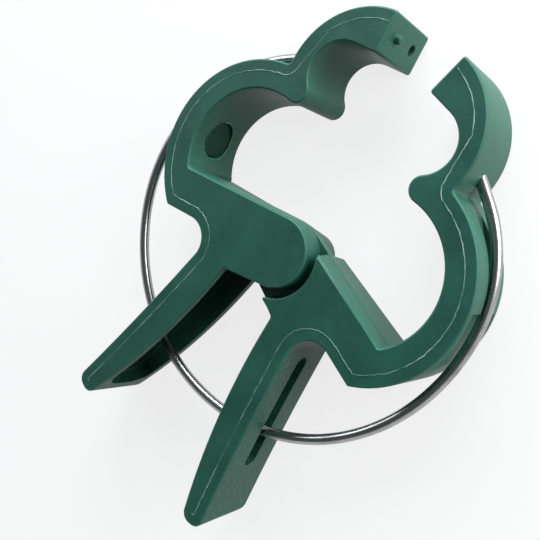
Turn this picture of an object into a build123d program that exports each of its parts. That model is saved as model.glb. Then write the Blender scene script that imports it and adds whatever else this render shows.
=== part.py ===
from build123d import *
import os
from math import atan2, cos, degrees, hypot, radians, sin, sqrt

# Clip for tying plant stems to a stake: two moulded levers that hinge on each other, and a wire ring that
# springs the jaws shut. The clip lies flat, with the hinge axis along Z through the origin and the jaws
# towards +Y. Every lever is drawn closed, on the +X side, and then turned out to the squeezed-open pose.

# Whole clip
depth = 10.4  # front face to back face of a lever
rest_angle = 9.1  # how far each lever is turned out from closed
edge_break = 0.25  # bevel along the front and back rims

# Small loop at the jaw tips
tip_lobe_radius = 10.1
tip_lobe_y = 21.0
tip_loop_radius = 3.95
tip_loop_centre = (3.4, 22.0)

# Large loop below it
main_lobe_radius = 13.4
main_lobe_centre = (9.4, 7.2)
main_loop_radius = 9.2
loop_gap = 2.45  # least distance between the two loops' walls
loop_lean = 66.6  # large loop's centre below the small loop's, degrees from level
nose_radius = 1.6  # rounded bump between the two loops
notch_round = 0.5  # where the two lobes meet outside

# Arm and hinge
arm_slope = 5.0  # fall of the arm's top edge away from the hinge, degrees
lug_radius = 4.5
lug_slope = 10.0  # fall of the hinge lug's lower edge, degrees
lug_reach = 5.7  # hinge axis to the handle's inner edge
seat_gap = 1.3  # between a lug's round end and the other lever's seat
lug_fall = 1.4  # how far the hinge lug's back rim lies inside its front rim
arm_fall = 0.5  # the same at the other end of the arm
tongue_thickness = 1.7
tongue_forward = 0.8  # tongue's middle in front of the lever's middle
tongue_clearance = 0.08  # on each side of the tongue
tongue_drop = 1.3  # tongue's foot below the hinge lug
slot_relief = 1.0  # between the tongue's foot and the end of the fork's slot
trunnion_radius = 1.6
trunnion_height = 0.9
trunnion_clearance = 0.05
trunnion_chamfer = 0.2

# Handle
crotch_point = (9.25, -2.05)  # where the lobe's underside would meet the handle's outer edge
crotch_radius = 3.0
underside_slope = 5.0  # fall of the lobe's underside away from the hinge, degrees
handle_end = (18.2, -32.3)  # middle of the handle's tip
handle_end_width = 3.0
handle_end_round = 1.4
pad_corner_round = 2.4  # back corner of the handle's end, seen square to its pad
handle_splay = 24.0  # handle's direction at its end, from straight down, degrees
outer_bow = 0.3  # rise of the outer edge's curve over its chord
inner_bow = 1.1
root_round = 0.6
corner_round = 0.4
tip_round = 0.35  # corners of the jaw tip's flat

# Channel in the handle's inner side, and the slot for the ring in its web
web = 1.4
channel_wall = 1.25
channel_end = 2.6  # solid length at the handle's tip
channel_drop = 0.4  # channel's top below the hinge lug
channel_round = 2.8
slot_top_y = -7.4
slot_bottom_y = -23.2

# Ring spring
wire_radius = 0.7
ring_radius = 25.0  # hinge axis to the wire where it leaves a lever
ring_bow = 0.8  # extra radius of the ring's long stretch, round the handles
ring_bow_centre = (-1.3, 2.15)  # the spread ring rides up, and over to the fork
fork_run = 3.5  # straight stretch where the wire leaves the fork lever
tongue_run = 2.5  # and where it leaves the tongue lever
wire_insert = 1.6  # straight end inside the lever
wire_end_chamfer = 0.15
hole_clearance = 0.06  # round the wire's end
hole_end_gap = 0.2
slot_clearance = 0.45  # on each side of the wire
groove_clearance = 0.6  # beside and below the wire along the lobe
channel_flange = 0.9  # thin rims beside the wide part of the groove
pad_low_angle = 32.3  # the raised pads beside the narrow groove, seen from the hinge
pad_high_angle = 58.2

# Locating pegs on the jaw tips, and the round ejector mark in the loop
peg_radius = 0.6
peg_height = 0.8
peg_clearance = 0.12
peg_spacing = 4.9
peg_taper = 8.0
mark_radius = 2.7
mark_sink = 0.5
mark_angle = 2.0  # below level, seen from the loop's centre


def polar(radius, angle, centre=(0.0, 0.0)):
    """Point at a radius and an angle in degrees from +X."""
    return (centre[0] + radius * cos(radians(angle)), centre[1] + radius * sin(radians(angle)))


def angle_of(point, centre=(0.0, 0.0)):
    """Direction of a point seen from a centre, in degrees."""
    return degrees(atan2(point[1] - centre[1], point[0] - centre[0]))


def circles_meet(centre_a, radius_a, centre_b, radius_b):
    """The crossing of two circles that lies to the left of the way from a to b."""
    span = hypot(centre_b[0] - centre_a[0], centre_b[1] - centre_a[1])
    along = (radius_a**2 - radius_b**2 + span**2) / (2 * span)
    aside = degrees(atan2(sqrt(radius_a**2 - along**2), along))
    return polar(radius_a, angle_of(centre_b, centre_a) + aside, centre_a)


def line_meets_circle(start, angle, centre, radius):
    """The far crossing of a circle by a line from a point in a direction."""
    way = polar(1.0, angle)
    to_centre = (centre[0] - start[0], centre[1] - start[1])
    along = to_centre[0] * way[0] + to_centre[1] * way[1]
    off = to_centre[0] * way[1] - to_centre[1] * way[0]
    reach = along + sqrt(radius**2 - off**2)
    return (start[0] + reach * way[0], start[1] + reach * way[1])


def end_bend(foot_angle, out_angle, run):
    """Arc that leads from a straight run at the ring's end into its long stretch: centre and radius."""
    way_out = polar(1.0, foot_angle)
    way_on = polar(1.0, out_angle)
    rise = ring_radius - ring_bow_centre[0] * way_out[0] - ring_bow_centre[1] * way_out[1]
    aside = run - ring_bow_centre[0] * way_on[0] - ring_bow_centre[1] * way_on[1]
    radius = (ring_bow_radius**2 - rise**2 - aside**2) / (2 * (ring_bow_radius - rise))
    return polar(run, out_angle, polar(ring_radius - radius, foot_angle)), radius


def arc_round(centre, radius, start, end):
    """Arc about a centre from one angle to another, in the sense that the signs give."""
    return ThreePointArc(
        polar(radius, start, centre), polar(radius, (start + end) / 2, centre), polar(radius, end, centre)
    )


# Places that follow from the sizes
mid_depth = depth / 2
tip_lobe_centre = (0.0, tip_lobe_y)
tip_top = tip_lobe_y + tip_lobe_radius
tip_roof = tip_loop_centre[1] + tip_loop_radius
tip_middle = (tip_top + tip_roof) / 2
loop_spacing = tip_loop_radius + loop_gap + main_loop_radius
main_loop_centre = polar(loop_spacing, -loop_lean, tip_loop_centre)
nose_centre = circles_meet(
    tip_loop_centre, tip_loop_radius + nose_radius, main_loop_centre, main_loop_radius + nose_radius
)
notch = circles_meet(tip_lobe_centre, tip_lobe_radius, main_lobe_centre, main_lobe_radius)
arm_foot = polar(lug_radius, 90.0 - arm_slope)
arm_corner = line_meets_circle(arm_foot, -arm_slope, main_loop_centre, main_loop_radius)
lug_foot = polar(lug_radius, -90.0 - lug_slope)
handle_root = polar((lug_reach - lug_foot[0]) / cos(radians(lug_slope)), -lug_slope, lug_foot)
lobe_corner = line_meets_circle(crotch_point, -underside_slope, main_lobe_centre, main_lobe_radius)
handle_way = handle_splay - 90.0
handle_out = (*polar(1.0, handle_way), 0)
handle_across = (*polar(1.0, handle_way + 90.0), 0)
outer_end = polar(handle_end_width / 2, handle_way + 90.0, handle_end)
inner_end = polar(handle_end_width / 2, handle_way - 90.0, handle_end)
fork_slot = tongue_thickness + 2 * tongue_clearance
tongue_level = mid_depth + tongue_forward
back_seat = tongue_level - fork_slot / 2
front_seat = tongue_level + fork_slot / 2  # the parting line runs on at this level
wire_hole_point = circles_meet(tip_lobe_centre, tip_lobe_radius, (0.0, 0.0), ring_radius)
wire_hole_angle = angle_of(wire_hole_point)
ring_bow_radius = ring_radius + ring_bow
groove_floor = ring_radius - wire_radius - groove_clearance
groove_width = 2 * (wire_radius + groove_clearance)
wide_groove = depth - 2 * channel_flange
wire_rest_angle = wire_hole_angle - rest_angle
beyond = ring_radius + main_lobe_radius  # clear of every outer edge
mark_point = polar(main_loop_radius + mark_sink, -mark_angle, main_loop_centre)
web_way = angle_of(outer_end, crotch_point)
web_out = (*polar(1.0, web_way + 90.0), 0)
slot_middle_y = (slot_top_y + slot_bottom_y) / 2
slot_middle = polar((crotch_point[1] - slot_middle_y) / sin(radians(-web_way)), web_way, crotch_point)
slot_length = (slot_top_y - slot_bottom_y) / sin(radians(-web_way))
web_top = polar(web, web_way - 90.0, crotch_point)
web_end = polar(handle_end_width / 2 - web, handle_way + 90.0, handle_end)
channel_top = polar(channel_drop, handle_way, handle_root)
channel_foot = polar(-channel_end, handle_way, handle_end)


def draw_outline():
    """Closed outline of a lever, from the jaw tip round the loops, the hinge lug, the handle and back."""
    Line((0.0, tip_roof), (tip_loop_centre[0], tip_roof))
    arc_round(tip_loop_centre, tip_loop_radius, 90.0, angle_of(nose_centre, tip_loop_centre))
    arc_round(
        nose_centre,
        nose_radius,
        angle_of(tip_loop_centre, nose_centre),
        angle_of(main_loop_centre, nose_centre) + 360.0,
    )
    arc_round(
        main_loop_centre,
        main_loop_radius,
        angle_of(nose_centre, main_loop_centre),
        angle_of(arm_corner, main_loop_centre),
    )
    Line(arm_corner, arm_foot)
    arc_round((0.0, 0.0), lug_radius, 90.0 - arm_slope, 270.0 - lug_slope)
    Line(lug_foot, handle_root)
    SagittaArc(handle_root, inner_end, -inner_bow)
    Line(inner_end, outer_end)
    SagittaArc(outer_end, crotch_point, outer_bow)
    Line(crotch_point, lobe_corner)
    arc_round(
        main_lobe_centre,
        main_lobe_radius,
        angle_of(lobe_corner, main_lobe_centre),
        angle_of(notch, main_lobe_centre),
    )
    arc_round(tip_lobe_centre, tip_lobe_radius, angle_of(notch, tip_lobe_centre), 90.0)
    Line((0.0, tip_top), (0.0, tip_roof))


def draw_sector(start, end):
    """Sector outside the ring groove's floor, between two angles at the hinge."""
    arc_round((0.0, 0.0), groove_floor, start, end)
    Line(polar(groove_floor, end), polar(beyond, end))
    arc_round((0.0, 0.0), beyond, end, start)
    Line(polar(beyond, start), polar(groove_floor, start))


# Space inside the handle: bounded by the web, the hinge lug's lower edge and the solid tip
with BuildPart() as handle_channel:
    with BuildSketch(Plane.XY.offset(channel_wall)):
        with BuildLine():
            SagittaArc(web_top, web_end, -outer_bow)
            Polyline(web_end, (web_end[0] - beyond, web_end[1]), (web_top[0] - beyond, web_top[1]), web_top)
        make_face()
        with BuildLine():
            Polyline(
                polar(beyond, 180.0 - lug_slope, channel_top),
                polar(beyond, -lug_slope, channel_top),
                polar(beyond, handle_way + 90.0, channel_foot),
                polar(beyond, handle_way - 90.0, channel_foot),
                close=True,
            )
        make_face(mode=Mode.INTERSECT)
    extrude(amount=depth - 2 * channel_wall)
    end_wall = handle_channel.faces().sort_by(Axis((0, 0, 0), handle_out))[-1]
    fillet(end_wall.edges().filter_by(Axis.Z, reverse=True), channel_round)

# Rim outside the drafted end of the hinge lug
with BuildPart() as lug_rim:
    with BuildSketch():
        Circle(lug_radius + edge_break)
        with BuildLine():
            Polyline(
                (0.0, 0.0),
                polar(beyond, 90.0 - arm_slope),
                (-beyond, 0.0),
                polar(beyond, 270.0 - lug_slope),
                close=True,
            )
        make_face(mode=Mode.INTERSECT)
    extrude(amount=front_seat)
    Cone(
        lug_radius - lug_fall,
        lug_radius,
        front_seat,
        align=(Align.CENTER, Align.CENTER, Align.MIN),
        mode=Mode.SUBTRACT,
    )

# What both levers share, closed, on the +X side
with BuildPart() as lever:
    with BuildSketch() as outline:
        with BuildLine():
            draw_outline()
        make_face()
        for corner, rounding in (
            (crotch_point, crotch_radius),
            (lobe_corner, corner_round),
            (arm_corner, corner_round),
            (handle_root, root_round),
            (notch, notch_round),
            (inner_end, handle_end_round),
            (outer_end, handle_end_round),
            ((0.0, tip_top), tip_round),
            ((0.0, tip_roof), tip_round),
        ):
            fillet(outline.vertices().sort_by_distance((*corner, 0))[0], rounding)
    extrude(amount=depth)
    rims = lever.faces().sort_by(Axis.Z)
    chamfer(rims[0].edges() + rims[-1].edges(), edge_break)
    # Draft along the top of the arm and under the lug, behind the parting line
    add(lug_rim.part, mode=Mode.SUBTRACT)
    for start, end, start_fall, end_fall in (
        (arm_foot, arm_corner, lug_fall, arm_fall),
        (handle_root, lug_foot, arm_fall, lug_fall),
    ):
        way = angle_of(end, start)
        outward = (*polar(1.0, way + 90.0), 0)
        for point, fall in ((start, start_fall), (end, end_fall)):
            with BuildSketch(Plane((*point, 0), x_dir=outward, z_dir=(*polar(1.0, way), 0))):
                with BuildLine():
                    Polyline(
                        (0.0, front_seat), (-fall, 0.0), (edge_break, 0.0), (edge_break, front_seat), close=True
                    )
                make_face()
        loft(ruled=True, mode=Mode.SUBTRACT)
    add(handle_channel.part, mode=Mode.SUBTRACT)
    # Round back corner at the end of the handle's pad
    with BuildSketch(Plane((*handle_end, 0), x_dir=handle_out, z_dir=handle_across)):
        Rectangle(pad_corner_round, pad_corner_round, align=(Align.MAX, Align.MAX))
        with Locations((-pad_corner_round, -pad_corner_round)):
            Circle(pad_corner_round, mode=Mode.SUBTRACT)
    extrude(amount=handle_end_width, both=True, mode=Mode.SUBTRACT)
    # Slot through the web of the handle, where the ring passes
    with BuildSketch(Plane((*slot_middle, mid_depth), x_dir=(*polar(1.0, web_way), 0), z_dir=web_out)):
        SlotOverall(slot_length, 2 * (wire_radius + slot_clearance))
    extrude(amount=2 * web, both=True, mode=Mode.SUBTRACT)
    # Groove for the ring round the large lobe, wide at its ends and narrow between the pads
    for start, end, width in (
        (0.0, pad_low_angle, wide_groove),
        (pad_low_angle, pad_high_angle, groove_width),
        (pad_high_angle, angle_of(notch), wide_groove),
    ):
        with BuildSketch(Plane.XY.offset(mid_depth - width / 2)):
            with BuildLine():
                draw_sector(start, end)
            make_face()
        extrude(amount=width, mode=Mode.SUBTRACT)
    # Blind hole in the small lobe for the ring's end
    with BuildSketch(Plane((*wire_hole_point, mid_depth), z_dir=(*polar(1.0, wire_hole_angle + 90.0), 0))):
        Circle(wire_radius + hole_clearance)
    extrude(amount=wire_insert + hole_end_gap, both=True, mode=Mode.SUBTRACT)
    # Ejector mark in the wall of the large loop
    with BuildSketch(Plane((*mark_point, mid_depth), z_dir=(*polar(1.0, 180.0 - mark_angle), 0))):
        Circle(mark_radius)
    extrude(amount=mark_radius, mode=Mode.SUBTRACT)

# Round boss that stands on both sides of the tongue
with BuildPart() as trunnion:
    with BuildSketch(Plane.XY.offset(tongue_level)):
        Circle(trunnion_radius)
    extrude(amount=tongue_thickness / 2 + trunnion_height, both=True)
    chamfer(trunnion.edges().filter_by(GeomType.CIRCLE), trunnion_chamfer)

# Lever with the tongue: its sides are cut back round the hinge
with BuildPart() as tongue_closed:
    add(lever.part)
    with BuildSketch(Plane.XY.offset(front_seat)):
        Circle(lug_radius + seat_gap)
    extrude(amount=depth - front_seat, mode=Mode.SUBTRACT)
    Cone(
        lug_radius - lug_fall + seat_gap,
        lug_radius - lug_fall * (1.0 - back_seat / front_seat) + seat_gap,
        back_seat,
        align=(Align.CENTER, Align.CENTER, Align.MIN),
        mode=Mode.SUBTRACT,
    )
    with BuildSketch(Plane.XY.offset(tongue_level)):
        with BuildLine():
            Polyline(
                lug_foot,
                polar(tongue_drop, -90.0 - lug_slope, lug_foot),
                polar(tongue_drop, -90.0 - lug_slope, handle_root),
                handle_root,
                close=True,
            )
        make_face()
    extrude(amount=tongue_thickness / 2, both=True)
    add(trunnion.part)
    with BuildSketch(Plane((0, tip_middle, mid_depth + peg_spacing / 2), z_dir=(1, 0, 0))):
        Circle(peg_radius + peg_clearance)
    extrude(amount=peg_height + peg_clearance, mode=Mode.SUBTRACT)
    with BuildSketch(Plane((0, tip_middle, mid_depth - peg_spacing / 2), z_dir=(-1, 0, 0))):
        Circle(peg_radius)
    extrude(amount=peg_height, taper=peg_taper)

# Lever with the fork: the other one's mirror image, slotted for the tongue
with BuildPart() as fork_closed:
    mirror(lever.part, about=Plane.YZ)
    with BuildSketch(Plane.XY.offset(tongue_level)):
        Circle(lug_radius + tongue_drop + slot_relief)
    extrude(amount=tongue_thickness / 2 + tongue_clearance, both=True, mode=Mode.SUBTRACT)
    with BuildSketch(Plane.XY.offset(tongue_level)):
        Circle(trunnion_radius + trunnion_clearance)
    extrude(amount=tongue_thickness / 2 + trunnion_height + tongue_clearance, both=True, mode=Mode.SUBTRACT)
    with BuildSketch(Plane((0, tip_middle, mid_depth - peg_spacing / 2), z_dir=(-1, 0, 0))):
        Circle(peg_radius + peg_clearance)
    extrude(amount=peg_height + peg_clearance, mode=Mode.SUBTRACT)
    with BuildSketch(Plane((0, tip_middle, mid_depth + peg_spacing / 2), z_dir=(1, 0, 0))):
        Circle(peg_radius)
    extrude(amount=peg_height, taper=peg_taper)

# The levers turned out to the squeezed-open pose
with BuildPart() as tongue_lever:
    add(tongue_closed.part, rotation=(0, 0, -rest_angle))

with BuildPart() as fork_lever:
    add(fork_closed.part, rotation=(0, 0, rest_angle))

# Wire ring round the hinge, open between the small lobes, with straight ends in the blind holes
right_bend, right_bend_radius = end_bend(wire_rest_angle, wire_rest_angle - 90.0, tongue_run)
left_bend, left_bend_radius = end_bend(180.0 - wire_rest_angle, 270.0 - wire_rest_angle, fork_run)
right_bend_end = angle_of(right_bend, ring_bow_centre)
left_bend_end = angle_of(left_bend, ring_bow_centre)
with BuildPart() as spring_ring:
    with BuildLine(Plane.XY.offset(mid_depth)) as wire_path:
        right_foot = polar(ring_radius, wire_rest_angle)
        left_foot = polar(ring_radius, 180.0 - wire_rest_angle)
        Line(
            polar(wire_insert, wire_rest_angle + 90.0, right_foot),
            polar(tongue_run, wire_rest_angle - 90.0, right_foot),
        )
        arc_round(right_bend, right_bend_radius, wire_rest_angle, right_bend_end)
        arc_round(ring_bow_centre, ring_bow_radius, right_bend_end, left_bend_end)
        arc_round(left_bend, left_bend_radius, left_bend_end, -180.0 - wire_rest_angle)
        Line(
            polar(fork_run, 270.0 - wire_rest_angle, left_foot),
            polar(wire_insert, 90.0 - wire_rest_angle, left_foot),
        )
    with BuildSketch(Plane(wire_path.line @ 0, z_dir=wire_path.line % 0)):
        Circle(wire_radius)
    sweep()
    ends = spring_ring.faces().filter_by(GeomType.PLANE)
    chamfer(ends.edges(), wire_end_chamfer)

os.makedirs("parts", exist_ok=True)
tongue_lever.part.label = "tongue_lever"
export_step(tongue_lever.part, "parts/tongue_lever.step")
fork_lever.part.label = "fork_lever"
export_step(fork_lever.part, "parts/fork_lever.step")
spring_ring.part.label = "spring_ring"
export_step(spring_ring.part, "parts/spring_ring.step")
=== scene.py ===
from math import atan2, cos, degrees, radians, sin, tau

import bmesh
import bpy
import numpy as np
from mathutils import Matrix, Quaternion, Vector


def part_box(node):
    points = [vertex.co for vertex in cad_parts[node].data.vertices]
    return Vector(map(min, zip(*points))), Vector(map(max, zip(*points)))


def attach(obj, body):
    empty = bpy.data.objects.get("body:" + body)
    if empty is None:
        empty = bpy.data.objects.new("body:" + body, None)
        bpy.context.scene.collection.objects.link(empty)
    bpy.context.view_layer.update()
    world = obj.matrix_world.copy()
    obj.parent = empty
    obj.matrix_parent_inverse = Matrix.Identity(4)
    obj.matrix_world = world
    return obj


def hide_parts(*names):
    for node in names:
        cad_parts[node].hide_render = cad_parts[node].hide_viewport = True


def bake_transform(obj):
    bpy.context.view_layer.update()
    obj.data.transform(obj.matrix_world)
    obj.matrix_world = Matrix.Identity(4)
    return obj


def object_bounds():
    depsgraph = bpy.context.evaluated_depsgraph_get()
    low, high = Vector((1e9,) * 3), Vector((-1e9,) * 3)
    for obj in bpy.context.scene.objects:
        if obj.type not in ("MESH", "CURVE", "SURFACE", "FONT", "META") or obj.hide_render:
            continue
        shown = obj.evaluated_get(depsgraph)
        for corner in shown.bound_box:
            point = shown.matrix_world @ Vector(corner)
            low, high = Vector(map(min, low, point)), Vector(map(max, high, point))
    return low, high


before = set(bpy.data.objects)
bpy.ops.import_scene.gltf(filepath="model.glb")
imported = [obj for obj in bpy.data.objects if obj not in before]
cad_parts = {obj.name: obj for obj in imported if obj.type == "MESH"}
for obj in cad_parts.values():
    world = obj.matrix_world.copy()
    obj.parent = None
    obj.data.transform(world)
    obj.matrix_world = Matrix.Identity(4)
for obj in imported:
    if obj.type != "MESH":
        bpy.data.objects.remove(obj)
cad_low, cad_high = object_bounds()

# Lengths are in metres. The clip lies on its back, with the hinge axis along Z through the origin, the jaws
# towards +Y and the handles towards -Y. The fork lever is on the -X side, the tongue lever on the +X side.
MM = 0.001

# Sizes that follow from the frame
ring_low, ring_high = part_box("spring_ring")
wire_radius = (ring_high.z - ring_low.z) / 2
mid_depth = (ring_high.z + ring_low.z) / 2
clip_depth = cad_high.z - cad_low.z

# Wire ring: straight ends in the levers, an end bend on each side and one long stretch round the handles
ring_radius = 25.0 * MM  # hinge axis to the wire where it leaves a lever
ring_foot_angle = 57.55  # where the wire leaves a lever, seen from the hinge, degrees
ring_bow_radius = 25.8 * MM
ring_bow_centre = (-1.3 * MM, 2.15 * MM)
fork_run = 3.5 * MM  # straight stretch beside the fork lever
tongue_run = 2.5 * MM  # and beside the tongue lever
wire_insert = 1.6 * MM
arc_step = 1.5  # degrees between two points of an arc
wire_sides = 24

# Mouldings. A direction counts as along an axis where its share along that axis is over the share given here.
level_share = 0.999
square_share = 0.95
flat_share = 0.9
round_profile = 0.5  # shape of a rounded edge: a quarter circle
weld_distance = 0.002 * MM
flat_angle = 0.4  # facets within this many degrees of each other are one face
edge_angle = 55.0  # edges sharper than this are rounded, degrees
edge_width = 0.07 * MM
edge_steps = 2
crease_angle = 25.0  # edges sharper than this show as edges where they aren't rounded, degrees
corner_angle = 110.0  # the pointed corners of a lever's front seat are sharper than this, degrees
corner_width = 0.45 * MM
corner_steps = 4
upright_share = 0.5  # an edge is upright if its rise is over this share of its length
peg_area = 1.2 * MM * MM  # a peg's end is smaller than this
peg_corners = 10  # and has more corners than this
peg_round = 0.22 * MM
peg_steps = 3
mark_radius = 2.7 * MM  # the round ejector mark in the large loop
mark_tolerance = 0.05  # how far its corners may lie off that radius, as a share of it
mark_groove = 0.32 * MM
mark_groove_depth = 0.6 * MM  # below the flat of the solid
mark_rise = 0.42 * MM
burr_reach = 0.1 * MM
burr_radius = 0.1 * MM
burr_front = 0.3 * mark_radius  # the burr ends this far in front of the mark's middle
hole_reach = 1.5 * MM  # the edges round a wire's hole stay as they are
rim_depth = 0.32 * MM  # chamfered rim round the flats
recess_top = -7.0 * MM  # the handles' recesses lie below this
recess_half_depth = 4.05 * MM  # and this near to the middle of the depth

# Flash: a thin line inside the outer edge of every flat face, and along the parting line
flash_height = 0.06 * MM
flash_inset = 1.2 * MM  # from the border of the flat, inside its bevel
flash_radius = 0.08 * MM
flash_depth = 1.2 * flash_radius  # the ridge's middle below the highest level it may reach
flash_clear = 0.98 * flash_inset  # least distance from the line to the outline's sides
seam_radius = 0.035 * MM
flash_step = 0.12 * MM
flash_wander = 0.32 * MM
flash_wander_size = 1800.0  # waves per metre
flash_swell_size = 0.7 * flash_wander_size
flash_least = 0.4  # thinnest place, as a share of the radius
flash_swell = 0.8  # how much the noise adds to that
flash_sides = 6
outline_step = 0.1 * MM
parting_level = 6.93 * MM
parting_reach = 0.03 * MM
crease_angles = (3.0, 13.0)  # the drafted walls meet at the parting line in this range, degrees
tip_height = 24.0 * MM  # the jaw tips lie above this
tip_lean = 0.5  # the tip's outer corner is the furthest point along +Y and this much towards the other lever

# Floor, with a low wall all round
floor_radius = 1.2
floor_curve = 0.4
floor_curve_steps = 8
floor_wall = 1.2
floor_sides = 64
floor_drop = 0.01 * MM  # below the clip
floor_glow = 0.8  # how much of the floor's look is plain white, and not lit

# Lamps: place, size, watts and colour
lamps = {
    "key_lamp": ((-0.09, 0.216, 0.09), 0.22, 1.37, (0.86, 0.97, 1.0)),
    "side_lamp": ((0.13, 0.16, 0.06), 0.15, 0.49, (1.0, 1.0, 1.0)),
    "left_lamp": ((-0.35, 0.06, 0.22), 0.25, 0.65, (0.9, 0.98, 1.0)),
}
sky_colour = (0.9, 0.96, 1.0, 1.0)
sky_strength = 0.12

# Camera
camera_place = Vector((40.15, 25.75, 87.21)) * MM
camera_aim = Vector((-1.6, -3.96, 5.2)) * MM
camera_roll = -85.51  # degrees about the line of sight
camera_lens = 49.45  # millimetres
camera_sensor = 36.0  # millimetres
camera_near = 0.005

# Colours, linear
plastic_green = (0.0140, 0.081, 0.055, 1.0)
# Painted shade: the handles' recesses and the ejector mark get a darker copy of the plastic's green
shaded_recess_green = (0.0060, 0.045, 0.029, 1.0)
# Painted light: the walls and the handles' side pads get a lighter copy of the flats' green
lit_wall_green = (0.0215, 0.110, 0.074, 1.0)
plastic_bloom = (0.024, 0.092, 0.066, 1.0)
# Painted highlight: a lighter green for the chamfered rims and rounded edges; the seam ridge and the flash
# line's thick parts share it
lit_edge_green = (0.022, 0.115, 0.080, 1.0)
flash_pale = (0.26, 0.37, 0.31, 1.0)
# Painted light: the ejector mark's burr is bright green and pale, as if lit through from behind
lit_burr_green = (0.035, 0.18, 0.10, 1.0)
lit_burr_pale = (0.08, 0.34, 0.17, 1.0)
steel_light = (0.42, 0.43, 0.42, 1.0)
steel_dark = (0.14, 0.145, 0.14, 1.0)
floor_white = (0.80, 0.80, 0.80, 1.0)
plain_white = (1.0, 1.0, 1.0, 1.0)

# Plastic finish: waves per metre of each pattern, and the part of its noise over which it sets in
cloud_waves, cloud_range = 170.0, (0.32, 0.68)
bloom_waves, bloom_range = 1400.0, (0.45, 0.75)
speck_waves, speck_range = 3200.0, (0.66, 0.78)
pit_waves, pit_range = 2300.0, (0.42, 0.60)
sink_waves = 110.0
grain_waves = 9000.0
speck_share = 0.2
pit_shade = 0.35  # a pit's colour as a share of the plastic's
satin_roughness = 0.38
cloud_roughness = 0.12  # added by the clouds
grain_roughness = 0.08  # added by the grain
sink_strength = 0.35
sink_height = 0.5 * MM
grain_weight = 0.6  # the rest of the fine relief follows the bloom
grain_height = 0.02 * MM
plastic_ior = 1.46

# Flash finish
torn_waves, torn_range = 900.0, (0.36, 0.60)
thin_waves, thin_range = 140.0, (0.25, 0.60)
flash_roughness = 0.6
thin_gloss = 0.1  # taken off where the flash is thin

# Steel finish
line_turns = 60.0  # waves of the drawn lines along the whole wire
line_rounds = 40.0  # and around it
line_range = (0.55, 0.8)
line_share = 0.4
line_strength = 0.12
line_height = 0.01 * MM
patch_waves, patch_range = 420.0, (0.5, 0.75)
patch_share = 0.5
steel_roughness = 0.24
dull_roughness = 0.14  # added where the steel is dull

# Finishes of a lever, in the order of its material slots
ON_FLAT, ON_RIM, IN_RECESS, ON_WALL, ON_PAD = range(5)


class Wire:
    """A node's output that can stand in sums: each operator adds a Math node to its tree."""

    def __init__(self, board, socket):
        self.board = board
        self.socket = socket

    def maths(self, operation, first, second):
        return self.board.node("ShaderNodeMath", {"operation": operation}, {0: first, 1: second})

    def __add__(self, other):
        return self.maths("ADD", self, other)

    def __radd__(self, other):
        return self.maths("ADD", other, self)

    def __sub__(self, other):
        return self.maths("SUBTRACT", self, other)

    def __rsub__(self, other):
        return self.maths("SUBTRACT", other, self)

    def __mul__(self, other):
        return self.maths("MULTIPLY", self, other)

    def __rmul__(self, other):
        return self.maths("MULTIPLY", other, self)


class Board:
    """A node tree, and the one way in which nodes are added to it."""

    def __init__(self, tree):
        self.tree = tree

    def node(self, kind, settings=None, inputs=None, output=0):
        """Add a node, set its settings, then feed its sockets with values or with other nodes' outputs."""
        made = self.tree.nodes.new(kind)
        for name, value in (settings or {}).items():
            setattr(made, name, value)
        for name, value in (inputs or {}).items():
            if isinstance(value, Wire):
                self.tree.links.new(value.socket, made.inputs[name])
            else:
                made.inputs[name].default_value = value
        return Wire(self, made.outputs[output]) if made.outputs else None

    def noise(self, place, scale, detail=2.0, roughness=0.5):
        inputs = {"Vector": place, "Scale": scale, "Detail": detail, "Roughness": roughness}
        return self.node("ShaderNodeTexNoise", None, inputs)

    def ramp(self, value, low, high):
        """0 below low, 1 above high and a straight rise between."""
        return self.node(
            "ShaderNodeMapRange", {"clamp": True}, {"Value": value, "From Min": low, "From Max": high}
        )

    def mix(self, share, first, second):
        """A colour between two, by a share."""
        return self.node(
            "ShaderNodeMix", {"data_type": "RGBA"}, {0: share, 6: first, 7: second}, output=2
        )

    def bump(self, height, strength, distance, under=None):
        inputs = {"Height": height, "Strength": strength, "Distance": distance}
        if under is not None:
            inputs["Normal"] = under
        return self.node("ShaderNodeBump", None, inputs)


def new_finish(name):
    """A new material with an empty node tree."""
    material = bpy.data.materials.new(name)
    material.use_nodes = True
    material.node_tree.nodes.clear()
    return material, Board(material.node_tree)


def close_finish(board, surface):
    board.node("ShaderNodeOutputMaterial", None, {"Surface": surface})


def darkened(colour, share):
    """A share of a colour."""
    return (*(share * value for value in colour[:3]), 1.0)


def make_plastic(name, body_colour, cloud_depth, bloom_share, pit_share, grain_depth, sheen):
    """Satin moulded plastic: deep green with cloudy bloom, small pits, fine grain and shallow sinks."""
    material, board = new_finish(name)
    place = board.node("ShaderNodeTexCoord", output=3)
    clouds = board.noise(place, cloud_waves, 3.0)
    sinks = board.noise(place, sink_waves, 1.0)
    waves = board.noise(place, bloom_waves, 2.0)
    grain = board.noise(place, grain_waves, 2.0)
    specks = board.ramp(board.noise(place, speck_waves, 1.0), *speck_range)
    shade = board.mix(board.ramp(clouds, *cloud_range), darkened(body_colour, 1.0 - cloud_depth), body_colour)
    bloom = board.ramp(waves, *bloom_range) * bloom_share + specks * speck_share
    bloomed = board.mix(bloom, shade, plastic_bloom)
    pits = board.ramp(board.noise(place, pit_waves, 2.0), *pit_range) * pit_share
    colour = board.mix(pits, bloomed, darkened(body_colour, pit_shade))
    roughness = satin_roughness + cloud_roughness * clouds + grain_roughness * grain
    rolling = board.bump(sinks, sink_strength, sink_height)
    relief = grain * grain_weight + waves * (1.0 - grain_weight)
    fine = board.bump(relief, grain_depth, grain_height, rolling)
    surface = board.node(
        "ShaderNodeBsdfPrincipled",
        None,
        {
            "Base Color": colour,
            "Roughness": roughness,
            "IOR": plastic_ior,
            "Specular IOR Level": sheen,
            "Normal": fine,
        },
    )
    close_finish(board, surface)
    return material


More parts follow.
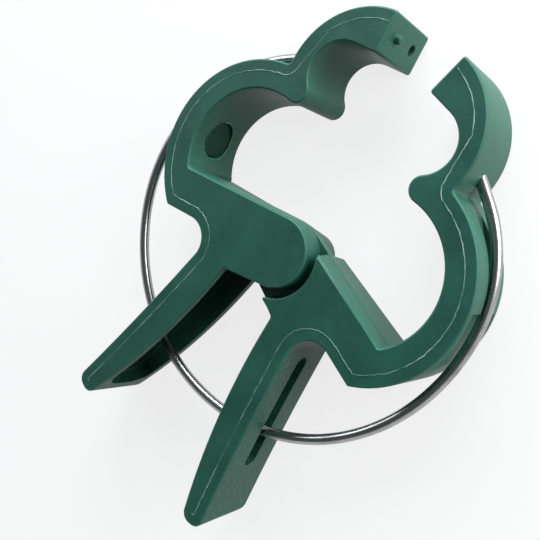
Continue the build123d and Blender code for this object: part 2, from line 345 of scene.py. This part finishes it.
def make_flash(name, thick_colour, thin_colour):
    """Thin torn flash, stretched pale where it is thin; on the mark's burr its colours are painted light
    shining through it.
    """
    material, board = new_finish(name)
    place = board.node("ShaderNodeTexCoord", output=3)
    torn = board.ramp(board.noise(place, torn_waves, 3.0), *torn_range)
    thin = torn * board.ramp(board.noise(place, thin_waves, 1.0), *thin_range)
    colour = board.mix(thin, thick_colour, thin_colour)
    roughness = flash_roughness - thin_gloss * thin
    surface = board.node("ShaderNodeBsdfPrincipled", None, {"Base Color": colour, "Roughness": roughness})
    close_finish(board, surface)
    return material


def make_steel():
    """Bright drawn steel wire: faint lines along the wire, and slight dull patches."""
    material, board = new_finish("steel_finish")
    along = board.node("ShaderNodeAttribute", {"attribute_name": "along"}, output=2)
    around = board.node("ShaderNodeAttribute", {"attribute_name": "around"}, output=2)
    turn = board.node("ShaderNodeCombineXYZ", None, {"X": along * line_turns, "Y": around * line_rounds})
    lines = board.noise(turn, 1.0, 3.0, 0.6)
    place = board.node("ShaderNodeTexCoord", output=3)
    patches = board.noise(place, patch_waves, 3.0)
    dull = board.ramp(patches, *patch_range) * patch_share + board.ramp(lines, *line_range) * line_share
    colour = board.mix(dull, steel_light, steel_dark)
    surface = board.node(
        "ShaderNodeBsdfPrincipled",
        None,
        {
            "Base Color": colour,
            "Metallic": 1.0,
            "Roughness": steel_roughness + dull_roughness * dull,
            "Normal": board.bump(lines, line_strength, line_height),
        },
    )
    close_finish(board, surface)
    return material


def make_floor_finish():
    """Pale matt floor that the camera and mirror-like surfaces see near white, with the shadow kept."""
    material, board = new_finish("floor_finish")
    seen = board.node("ShaderNodeLightPath", output="Is Camera Ray")
    mirrored = board.node("ShaderNodeLightPath", output="Is Glossy Ray")
    through = board.node("ShaderNodeLightPath", output="Is Transmission Ray")
    matt = board.node("ShaderNodeBsdfDiffuse", None, {"Color": floor_white})
    glow = board.node("ShaderNodeEmission", None, {"Color": plain_white, "Strength": 1.0})
    share = (seen + mirrored + through) * floor_glow
    surface = board.node("ShaderNodeMixShader", None, {0: share, 1: matt, 2: glow})
    close_finish(board, surface)
    return material


def new_piece(name, mesh):
    piece = bpy.data.objects.new(name, mesh)
    bpy.context.scene.collection.objects.link(piece)
    return piece


def settle(piece):
    """Replace a piece's mesh by what its modifiers make of it, and remove them."""
    bpy.context.view_layer.update()
    graph = bpy.context.evaluated_depsgraph_get()
    made = bpy.data.meshes.new_from_object(piece.evaluated_get(graph))
    piece.modifiers.clear()
    piece.data = made
    return piece


def polar(radius, angle, centre=(0.0, 0.0)):
    """Point at a radius and an angle in degrees from +X."""
    return (centre[0] + radius * cos(radians(angle)), centre[1] + radius * sin(radians(angle)))


def merged_solid(node):
    """Copy of a solid with its loose triangles welded and flat regions joined into single faces."""
    work = bmesh.new()
    work.from_mesh(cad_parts[node].data)
    bmesh.ops.remove_doubles(work, verts=work.verts, dist=weld_distance)
    bmesh.ops.dissolve_limit(
        work, angle_limit=radians(flat_angle), verts=work.verts, edges=work.edges, delimit=set()
    )
    return work


def flat_outline(work, facing):
    """Border of the largest flat face that faces up (1) or down (-1), anticlockwise seen from above."""
    flats = [face for face in work.faces if face.normal.z * facing > level_share]
    widest = max(flats, key=lambda face: face.calc_area())
    points = np.array([vert.co for vert in widest.verts])
    return points if facing > 0 else points[::-1]


def spaced(points, step):
    """Points at an even spacing round a closed outline."""
    closed = np.vstack([points, points[:1]])
    reach = np.concatenate([[0.0], np.cumsum(np.linalg.norm(np.diff(closed, axis=0), axis=1))])
    places = np.linspace(0.0, reach[-1], int(reach[-1] / step), endpoint=False)
    return np.column_stack([np.interp(places, reach, closed[:, axis]) for axis in range(3)])


def flash_line(outline, side):
    """Line a fixed distance inside an outline, along its outer side, from the jaw tip to the handle's end."""
    border = spaced(outline, outline_step)
    ahead = np.roll(border, -1, axis=0) - np.roll(border, 1, axis=0)
    inward = np.column_stack([-ahead[:, 1], ahead[:, 0], np.zeros(len(border))])
    inward /= np.linalg.norm(inward, axis=1)[:, None]
    line = border + inward * flash_inset
    tip = int(np.argmax(border[:, 1] - tip_lean * side * border[:, 0]))
    heel = int(np.argmin(border[:, 1]))
    count = len(border)
    runs = [
        [(tip + i) % count for i in range((heel - tip) % count + 1)],
        [(tip - i) % count for i in range((tip - heel) % count + 1)],
    ]
    outer = max(runs, key=lambda run: np.linalg.norm(border[run, :2], axis=1).min())
    at_tip = (inward[:, 0] * side > square_share) & (border[:, 1] > tip_height)
    sides = border[~at_tip]
    clear = [i for i in outer if np.linalg.norm(sides - line[i], axis=1).min() > flash_clear]
    return line[clear]


def path_mesh(name, points):
    """Mesh of one open line through the points."""
    mesh = bpy.data.meshes.new(name)
    mesh.from_pydata([tuple(point) for point in points], [(i, i + 1) for i in range(len(points) - 1)], [])
    return mesh


def edge_mesh(name, edges):
    """Mesh of loose edges, with the ends that they share joined."""
    ends = sorted({vert for edge in edges for vert in edge.verts}, key=lambda vert: vert.index)
    number = {vert: i for i, vert in enumerate(ends)}
    mesh = bpy.data.meshes.new(name)
    mesh.from_pydata(
        [tuple(vert.co) for vert in ends], [[number[vert] for vert in edge.verts] for edge in edges], []
    )
    return mesh


def on_tip_end(face, side):
    """Whether a face lies on the end of a lever's jaw tip, which looks at the other lever."""
    return face.normal.x * side < -square_share and face.verts[0].co.y > tip_height


def seam_edges(work, side):
    """Edges along a lever's parting line, where its drafted walls meet, apart from the jaw tip's end."""
    work.verts.index_update()
    seams = []
    for edge in work.edges:
        level = all(abs(vert.co.z - parting_level) < parting_reach for vert in edge.verts)
        at_tip = all(on_tip_end(face, side) for face in edge.link_faces)
        creased = crease_angles[0] < degrees(edge.calc_face_angle(0.0)) < crease_angles[1]
        if level and creased and not at_tip:
            seams.append(edge)
    return seams


def round_off(work, edges, width, steps):
    """Round edges over a width, in a number of steps."""
    bmesh.ops.bevel(work, geom=edges, offset=width, segments=steps, profile=round_profile, affect="EDGES")


def round_corners(work):
    """Round the pointed corners of a lever's front seat."""
    corners = []
    for edge in work.edges:
        first, second = (vert.co for vert in edge.verts)
        front = min(first.z, second.z) > parting_level - parting_reach
        upright = abs(first.z - second.z) > upright_share * (first - second).length
        if front and upright and degrees(edge.calc_face_angle(0.0)) > corner_angle:
            corners.append(edge)
    round_off(work, corners, corner_width, corner_steps)


def round_peg(work, side):
    """Round the end of the locating peg on a lever's jaw tip."""
    rim = set()
    for face in work.faces:
        is_round = len(face.verts) > peg_corners and face.calc_area() < peg_area
        if is_round and on_tip_end(face, side):
            rim.update(edge for edge in face.edges if edge.is_convex)
    round_off(work, list(rim), peg_round, peg_steps)


def ejector_mark(work):
    """The flat of the round ejector mark in a lever's large loop."""
    for face in work.faces:
        reaches = [(vert.co - face.calc_center_bounds()).length / mark_radius for vert in face.verts]
        if all(abs(reach - 1.0) < mark_tolerance for reach in reaches):
            return face


def burr_edges(work):
    """Edges along the back half of the ejector mark's rim, where a burr stands."""
    mark = ejector_mark(work)
    centre, way = mark.calc_center_bounds(), mark.normal.copy()
    burrs = []
    for edge in work.edges:
        offsets = [vert.co - centre for vert in edge.verts]
        reaches = [(offset - way * offset.dot(way)).length for offset in offsets]
        near = all(abs(reach - mark_radius) < burr_reach for reach in reaches)
        proud = all(burr_reach < offset.dot(way) < mark_radius for offset in offsets)
        behind = all(offset.z < burr_front for offset in offsets)
        if near and proud and behind:
            burrs.append(edge)
    return burrs


def sink_mark(work):
    """Leave a narrow groove round the ejector mark, with the mark's middle almost flush."""
    mark = ejector_mark(work)
    way = mark.normal.copy()
    bmesh.ops.translate(work, verts=mark.verts, vec=-way * mark_groove_depth)
    bmesh.ops.inset_individual(work, faces=[mark], thickness=mark_groove)
    bmesh.ops.translate(work, verts=mark.verts, vec=way * (mark_groove_depth + mark_rise))


def mark_edges(work):
    """Mark the edges that are rounded: the sharp ones, apart from those round the wires' holes."""
    weights = work.edges.layers.float.new("bevel_weight_edge")
    foot_angles = (ring_foot_angle, 180.0 - ring_foot_angle)
    holes = [Vector((*polar(ring_radius, angle), mid_depth)) for angle in foot_angles]
    for edge in work.edges:
        middle = (edge.verts[0].co + edge.verts[1].co) / 2
        beside = min((middle - hole).length for hole in holes) < hole_reach
        if degrees(edge.calc_face_angle(0.0)) > edge_angle and not beside:
            edge[weights] = 1.0


def finish_number(face):
    """Which finish a face has: flat, chamfered rim, handle's recess, wall, or pad on the side of a handle."""
    levels = [vert.co.z for vert in face.verts]
    heights = [abs(level - mid_depth) for level in levels]
    at_rim = min(heights) > clip_depth / 2 - rim_depth and max(levels) - min(levels) < rim_depth
    if at_rim and abs(face.normal.z) < square_share:
        return ON_RIM
    on_handle = max(vert.co.y for vert in face.verts) < recess_top
    if on_handle and max(heights) < recess_half_depth:
        return IN_RECESS
    if abs(face.normal.z) > flat_share:
        return ON_FLAT
    return ON_PAD if on_handle else ON_WALL


def set_sharp_edges(mesh):
    """Keep the edges that aren't rounded sharp, and let rims run smoothly into their neighbours."""
    work = bmesh.new()
    work.from_mesh(mesh)
    for face in work.faces:
        face.smooth = True
    for edge in work.edges:
        at_rim = any(face.material_index == ON_RIM for face in edge.link_faces)
        limit = edge_angle if at_rim else crease_angle
        edge.smooth = degrees(edge.calc_face_angle(0.0)) < limit
    work.to_mesh(mesh)
    work.free()


def new_shape_tree(name, sizes):
    """A geometry tree with a geometry input, named sizes and a material input."""
    tree = bpy.data.node_groups.new(name, "GeometryNodeTree")
    tree.interface.new_socket("Geometry", in_out="INPUT", socket_type="NodeSocketGeometry")
    for size, kind in sizes.items():
        tree.interface.new_socket(size, in_out="INPUT", socket_type=kind)
    tree.interface.new_socket("Material", in_out="INPUT", socket_type="NodeSocketMaterial")
    tree.interface.new_socket("Geometry", in_out="OUTPUT", socket_type="NodeSocketGeometry")
    board = Board(tree)
    group = tree.nodes.new("NodeGroupInput")
    entries = {socket.name: Wire(board, socket) for socket in group.outputs if socket.name}
    return board, entries


def close_shape_tree(board, entries, shape):
    """Finish a tree: smooth shading, the material, and plain geometry."""
    shaded = board.node("GeometryNodeSetShadeSmooth", None, {"Geometry": shape, "Shade Smooth": True})
    material = entries["Material"]
    painted = board.node("GeometryNodeSetMaterial", None, {"Geometry": shaded, "Material": material})
    plain = board.node("GeometryNodeRealizeInstances", None, {"Geometry": painted})
    board.node("NodeGroupOutput", None, {"Geometry": plain})
    return board.tree


def flash_tree():
    """Thin ridge that wanders a little about a path and swells and fades along it."""
    board, entries = new_shape_tree(
        "flash_ridge",
        {
            "Step": "NodeSocketFloat",
            "Wander": "NodeSocketFloat",
            "Wander Size": "NodeSocketFloat",
            "Swell Size": "NodeSocketFloat",
            "Ridge Radius": "NodeSocketFloat",
            "Sides": "NodeSocketInt",
        },
    )
    path = board.node("GeometryNodeMeshToCurve", None, {"Mesh": entries["Geometry"]})
    spacing = {"Curve": path, "Length": entries["Step"]}
    even = board.node("GeometryNodeResampleCurve", {"mode": "LENGTH"}, spacing)
    place = board.node("GeometryNodeInputPosition")
    waves = {"Vector": place, "Scale": entries["Wander Size"], "Detail": 3.0}
    shift = board.node("ShaderNodeTexNoise", None, waves, output=1)
    centred = board.node("ShaderNodeVectorMath", {"operation": "SUBTRACT"}, {0: shift, 1: (0.5, 0.5, 0.5)})
    level = board.node("ShaderNodeVectorMath", {"operation": "MULTIPLY"}, {0: centred, 1: (1.0, 1.0, 0.0)})
    reach = {0: level, "Scale": entries["Wander"]}
    scaled = board.node("ShaderNodeVectorMath", {"operation": "SCALE"}, reach)
    moved = board.node("GeometryNodeSetPosition", None, {"Geometry": even, "Offset": scaled})
    swell = board.node(
        "ShaderNodeTexNoise", None, {"Vector": place, "Scale": entries["Swell Size"], "Detail": 2.0}
    )
    thickness = swell * flash_swell + flash_least
    thick = board.node("GeometryNodeSetCurveRadius", None, {"Curve": moved, "Radius": thickness})
    section = board.node(
        "GeometryNodeCurvePrimitiveCircle",
        {"mode": "RADIUS"},
        {"Resolution": entries["Sides"], "Radius": entries["Ridge Radius"]},
    )
    ridge = board.node(
        "GeometryNodeCurveToMesh", None, {"Curve": thick, "Profile Curve": section, "Fill Caps": True}
    )
    return close_shape_tree(board, entries, ridge)


def wire_tree():
    """Round wire along a path, with its place along and around the wire kept for the finish."""
    board, entries = new_shape_tree(
        "round_wire", {"Wire Radius": "NodeSocketFloat", "Sides": "NodeSocketInt"}
    )
    path = board.node("GeometryNodeMeshToCurve", None, {"Mesh": entries["Geometry"]})
    section = board.node(
        "GeometryNodeCurvePrimitiveCircle",
        {"mode": "RADIUS"},
        {"Resolution": entries["Sides"], "Radius": entries["Wire Radius"]},
    )
    share = board.node("GeometryNodeSplineParameter")
    marked = board.node(
        "GeometryNodeStoreNamedAttribute",
        {"data_type": "FLOAT", "domain": "POINT"},
        {"Geometry": path, "Name": "along", "Value": share},
    )
    sine = board.node("ShaderNodeMath", {"operation": "SINE"}, {0: share * tau})
    marked_section = board.node(
        "GeometryNodeStoreNamedAttribute",
        {"data_type": "FLOAT", "domain": "POINT"},
        {"Geometry": section, "Name": "around", "Value": sine},
    )
    wire = board.node(
        "GeometryNodeCurveToMesh", None, {"Curve": marked, "Profile Curve": marked_section, "Fill Caps": True}
    )
    return close_shape_tree(board, entries, wire)


def shape_piece(name, path, tree, material, sizes):
    """A piece made by a geometry tree along a path, as a plain mesh."""
    piece = new_piece(name, path)
    maker = piece.modifiers.new("shape", "NODES")
    maker.node_group = tree
    for socket in tree.interface.items_tree:
        if socket.in_out == "INPUT" and socket.name in sizes:
            maker[socket.identifier] = sizes[socket.name]
        if socket.in_out == "INPUT" and socket.name == "Material":
            maker[socket.identifier] = material
    return settle(piece)


def make_flash_piece(name, path, radius, wander, body, finish, tree):
    """A ridge of flash along a path, on a lever."""
    sizes = {
        "Step": flash_step,
        "Wander": wander,
        "Wander Size": flash_wander_size,
        "Swell Size": flash_swell_size,
        "Ridge Radius": radius,
        "Sides": flash_sides,
    }
    piece = shape_piece(name, path, tree, finish, sizes)
    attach(piece, body)


def make_lever(body, node, side, finishes, flash, burr, tree):
    """A lever: its solid, with rounded edges and a little less depth, and the flash that stands on it."""
    work = merged_solid(node)
    shrink = 1.0 - 2.0 * flash_height / clip_depth
    for vert in work.verts:
        vert.co.z = mid_depth + (vert.co.z - mid_depth) * shrink
    for facing, face_name in ((1, "front"), (-1, "back")):
        line = flash_line(flat_outline(work, facing), side)
        line[:, 2] += facing * (flash_height - flash_depth)
        path = path_mesh(f"{body}_{face_name}_path", line)
        make_flash_piece(f"{body}_flash_{face_name}", path, flash_radius, flash_wander, body, flash, tree)
    seams = edge_mesh(f"{body}_seam_path", seam_edges(work, side))
    # The seam ridge takes the rim finish, with its painted highlight
    make_flash_piece(f"{body}_flash_seam", seams, seam_radius, 0.0, body, finishes[ON_RIM], tree)
    burrs = edge_mesh(f"{body}_burr_path", burr_edges(work))
    make_flash_piece(f"{body}_mark_burr", burrs, burr_radius, 0.0, body, burr, tree)

    round_corners(work)
    round_peg(work, side)
    mark_edges(work)
    for face in work.faces:
        face.material_index = finish_number(face)
    # The ejector mark takes the darker recess colour too, as painted shade
    ejector_mark(work).material_index = IN_RECESS
    sink_mark(work)
    mesh = bpy.data.meshes.new(f"{body}_moulding")
    work.to_mesh(mesh)
    work.free()
    for finish in finishes:
        mesh.materials.append(finish)
    piece = new_piece(f"{body}_moulding", mesh)
    rounding = piece.modifiers.new("rounded_edges", "BEVEL")
    rounding.limit_method = "WEIGHT"
    rounding.width = edge_width
    rounding.segments = edge_steps
    # The rounded edges take the rim finish, with its painted highlight
    rounding.material = ON_RIM
    rounding.use_clamp_overlap = False
    settle(piece)
    set_sharp_edges(piece.data)
    evening = piece.modifiers.new("even_flats", "WEIGHTED_NORMAL")
    evening.keep_sharp = True
    settle(piece)
    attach(piece, body)
    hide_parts(node)


def end_bend(foot_angle, out_angle, run):
    """Arc that leads from a straight run at the ring's end into its long stretch: centre and radius."""
    way_out = polar(1.0, foot_angle)
    way_on = polar(1.0, out_angle)
    rise = ring_radius - ring_bow_centre[0] * way_out[0] - ring_bow_centre[1] * way_out[1]
    aside = run - ring_bow_centre[0] * way_on[0] - ring_bow_centre[1] * way_on[1]
    radius = (ring_bow_radius**2 - rise**2 - aside**2) / (2 * (ring_bow_radius - rise))
    return polar(run, out_angle, polar(ring_radius - radius, foot_angle)), radius


def arc_points(centre, radius, start, end):
    """Points along an arc, from one angle to another."""
    count = max(2, int(abs(end - start) / arc_step) + 1)
    return [polar(radius, angle, centre) for angle in np.linspace(start, end, count)]


def bow_angle(centre):
    """Direction of a bend's centre, seen from the centre of the long stretch."""
    return degrees(atan2(centre[1] - ring_bow_centre[1], centre[0] - ring_bow_centre[0]))


def make_ring(finish):
    """The wire ring: straight ends, two end bends and the long stretch, as one round wire."""
    right_angle, left_angle = ring_foot_angle, 180.0 - ring_foot_angle
    right_bend, right_radius = end_bend(right_angle, right_angle - 90.0, tongue_run)
    left_bend, left_radius = end_bend(left_angle, left_angle + 90.0, fork_run)
    right_end, left_end = bow_angle(right_bend), bow_angle(left_bend)
    line = [polar(wire_insert, right_angle + 90.0, polar(ring_radius, right_angle))]
    line += arc_points(right_bend, right_radius, right_angle, right_end)
    line += arc_points(ring_bow_centre, ring_bow_radius, right_end, left_end)[1:]
    line += arc_points(left_bend, left_radius, left_end, left_angle - 360.0)[1:]
    line += [polar(wire_insert, left_angle - 90.0, polar(ring_radius, left_angle))]
    ring = shape_piece(
        "wire_ring",
        path_mesh("wire_ring_path", [(x, y, mid_depth) for x, y in line]),
        wire_tree(),
        finish,
        {"Wire Radius": wire_radius, "Sides": wire_sides},
    )
    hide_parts("spring_ring")
    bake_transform(ring)


def aim(thing, place, target, roll=0.0):
    """Put a lamp or the camera at a place, looking at a target."""
    thing.location = place
    turn = (Vector(target) - Vector(place)).to_track_quat("-Z", "Y")
    thing.rotation_euler = (turn @ Quaternion((0.0, 0.0, 1.0), radians(roll))).to_euler()


def make_lamp(name, place, size, power, colour):
    """A round soft lamp aimed at the hinge."""
    lamp = bpy.data.lights.new(name, "AREA")
    lamp.color = colour
    lamp.shape = "DISK"
    lamp.size = size
    lamp.energy = power
    holder = new_piece(name, lamp)
    aim(holder, place, (0.0, 0.0, mid_depth))


def floor_mesh():
    """Round floor that curves up into a low wall all round."""
    level = cad_low.z - floor_drop
    rings = [(floor_radius, level)]
    for step in range(1, floor_curve_steps + 1):
        turn = radians(90.0 * step / floor_curve_steps)
        rings.append((floor_radius + floor_curve * sin(turn), level + floor_curve * (1.0 - cos(turn))))
    rings.append((floor_radius + floor_curve, level + floor_wall))
    angles = [360.0 * i / floor_sides for i in range(floor_sides)]
    points = [(*polar(radius, angle), height) for radius, height in rings for angle in angles]
    faces = [tuple(range(floor_sides))]
    for start in range(0, len(points) - floor_sides, floor_sides):
        for i in range(floor_sides):
            j = (i + 1) % floor_sides
            faces.append((start + i, start + floor_sides + i, start + floor_sides + j, start + j))
    mesh = bpy.data.meshes.new("floor")
    mesh.from_pydata(points, [], faces)
    mesh.materials.append(make_floor_finish())
    mesh.shade_smooth()
    return mesh


def make_stage():
    """Floor, lamps, sky and camera."""
    new_piece("floor", floor_mesh())

    for name, (place, size, power, colour) in lamps.items():
        make_lamp(name, place, size, power, colour)

    world = bpy.data.worlds.new("studio")
    world.use_nodes = True
    world.node_tree.nodes["Background"].inputs["Color"].default_value = sky_colour
    world.node_tree.nodes["Background"].inputs["Strength"].default_value = sky_strength
    bpy.context.scene.world = world

    camera = bpy.data.cameras.new("camera")
    camera.lens = camera_lens
    camera.sensor_width = camera_sensor
    camera.clip_start = camera_near
    holder = new_piece("camera", camera)
    aim(holder, camera_place, camera_aim, camera_roll)
    bpy.context.scene.camera = holder
    bpy.context.scene.view_settings.view_transform = "Standard"


# Each finish has its cloud depth, bloom share, pit share, grain depth and sheen, in the slots' order
lever_finishes = (
    make_plastic("moulded_green", plastic_green, 0.32, 0.35, 0.06, 0.25, 0.36),
    make_plastic("moulded_green_lit_edge", lit_edge_green, 0.18, 0.8, 0.0, 0.25, 0.40),
    make_plastic("moulded_green_shaded_recess", shaded_recess_green, 0.18, 0.5, 0.2, 0.8, 0.10),
    make_plastic("moulded_green_lit_wall", lit_wall_green, 0.18, 0.30, 0.16, 0.55, 0.31),
    make_plastic("moulded_green_lit_pad", lit_wall_green, 0.18, 0.30, 0.7, 1.0, 0.31),
)
flash_finish = make_flash("flash_finish", lit_edge_green, flash_pale)
lit_burr_finish = make_flash("lit_burr_finish", lit_burr_green, lit_burr_pale)
ridge_tree = flash_tree()
for lever_body, lever_node, lever_side in (("fork", "fork_lever", -1.0), ("tongue", "tongue_lever", 1.0)):
    make_lever(lever_body, lever_node, lever_side, lever_finishes, flash_finish, lit_burr_finish, ridge_tree)
make_ring(make_steel())
make_stage()
